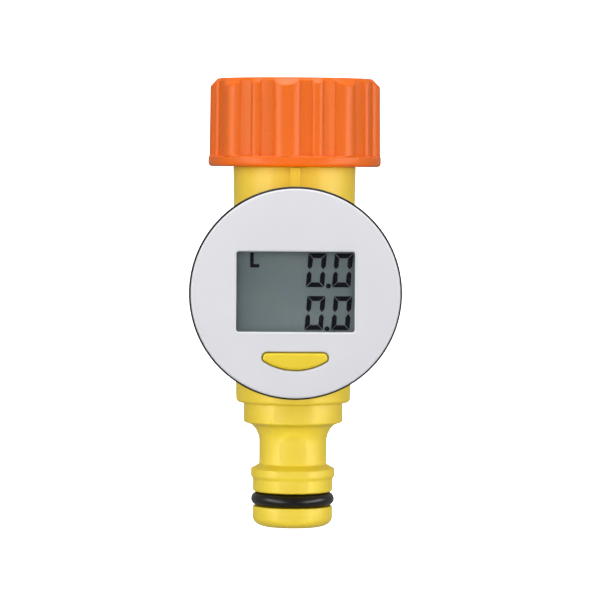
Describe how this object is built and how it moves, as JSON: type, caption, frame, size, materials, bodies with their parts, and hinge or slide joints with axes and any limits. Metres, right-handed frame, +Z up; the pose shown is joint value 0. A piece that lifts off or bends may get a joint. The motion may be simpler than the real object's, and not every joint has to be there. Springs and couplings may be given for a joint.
{
  "type": "in-line garden water meter",
  "caption": "In-line garden water meter: swivelling tap nut, tube with turbine, round display head with one button, quick-connect outlet with O-ring.",
  "frame": {"origin": "on the axis of the inlet thread, 0.4 mm above its low end and 0.6 mm above the washer's face that the tap's end seals on", "axes": "+Z up along the inlet thread and the water tube, towards the tap; the display faces -Y; +X is to the right when looking at the display"},
  "size_m": [0.0419, 0.0487, 0.0914],
  "materials": {
    "orange_plastic": "satin, glossier on the lobes than in the grooves",
    "yellow_plastic": "fine satin grain",
    "white_plastic": "smooth satin",
    "black_plastic": "satin",
    "white_nylon": "satin",
    "black_rubber": "smooth moulded rubber",
    "grey_silicone": "translucent silicone",
    "clear_window": "polished clear acrylic",
    "lcd_glass": "polished",
    "lcd_back": "grey green liquid crystal cell",
    "lcd_dark": "dark liquid crystal segments",
    "foil": "matt reflector foil",
    "circuit_green": "solder mask",
    "epoxy": "glossy potting resin",
    "ceramic": "chip capacitor ceramic",
    "steel": "stainless",
    "nickel": "nickel plate",
    "magnet": "sintered magnet",
    "sensor_glass": "greenish glass tube"
  },
  "bodies": {
    "meter_body": {"main_body": "yellow_plastic", "outlet_coupling": "yellow_plastic", "coupling_o_ring": "black_rubber", "outlet_o_ring": "black_rubber", "inlet_washer": "black_rubber", "filter_rim": "white_nylon", "filter_mesh": "steel", "flow_straightener": "white_nylon", "rear_stator": "white_nylon", "measuring_sleeve": "white_nylon", "upstream_bearing": "epoxy", "downstream_bearing": "epoxy"},
    "nut": {"inlet_nut": "orange_plastic"},
    "turbine": {"turbine_rotor": "white_nylon", "rotor_shaft": "steel", "rotor_magnets": "magnet"},
    "head": {"rear_case": "black_plastic", "case_gasket": "black_rubber", "front_cover": "white_plastic", "window_tape": "black_plastic", "display_window": "clear_window", "lcd_front_glass": "lcd_glass", "lcd_rear_glass": "lcd_back", "lcd_reflector": "foil", "lcd_segments": "lcd_dark", "lcd_frame": "black_plastic", "zebra_strips": "grey_silicone", "button_dome": "grey_silicone", "circuit_board": "circuit_green", "controller_blob": "epoxy", "crystal": "nickel", "capacitors": "ceramic", "reed_switch": "sensor_glass", "reed_leads": "nickel", "battery_holder": "black_plastic", "positive_contact": "nickel", "negative_contact": "nickel", "coin_cell": "steel", "case_screws": "steel"},
    "button": {"button_cap": "yellow_plastic", "contact_pill": "black_rubber"},
    "battery_door": {"battery_door": "black_plastic", "door_seal": "black_rubber"}
  },
  "joints": [
    {"name": "nut_swivel", "type": "hinge", "parent": "meter_body", "child": "nut", "pos_m": [0, 0, 0], "axis": [0, 0, 1], "continuous": true},
    {"name": "turbine_spin", "type": "hinge", "parent": "meter_body", "child": "turbine", "pos_m": [0, 0, -0.0426], "axis": [0, 0, 1], "continuous": true},
    {"name": "head_twist", "type": "hinge", "parent": "meter_body", "child": "head", "pos_m": [0, -0.02, -0.0319], "axis": [0, -1, 0], "range_deg": [0, 25]},
    {"name": "button_press", "type": "slide", "parent": "head", "child": "button", "axis": [0, 1, 0], "range_m": [0, 0.0008], "stiffness_N_per_m": 1500, "springref_m": -0.0001, "deforming": ["button_dome"]},
    {"name": "battery_door_turn", "type": "hinge", "parent": "head", "child": "battery_door", "pos_m": [0, -0.016, -0.0287], "axis": [0, -1, 0], "range_deg": [0, 60]}
  ]
}
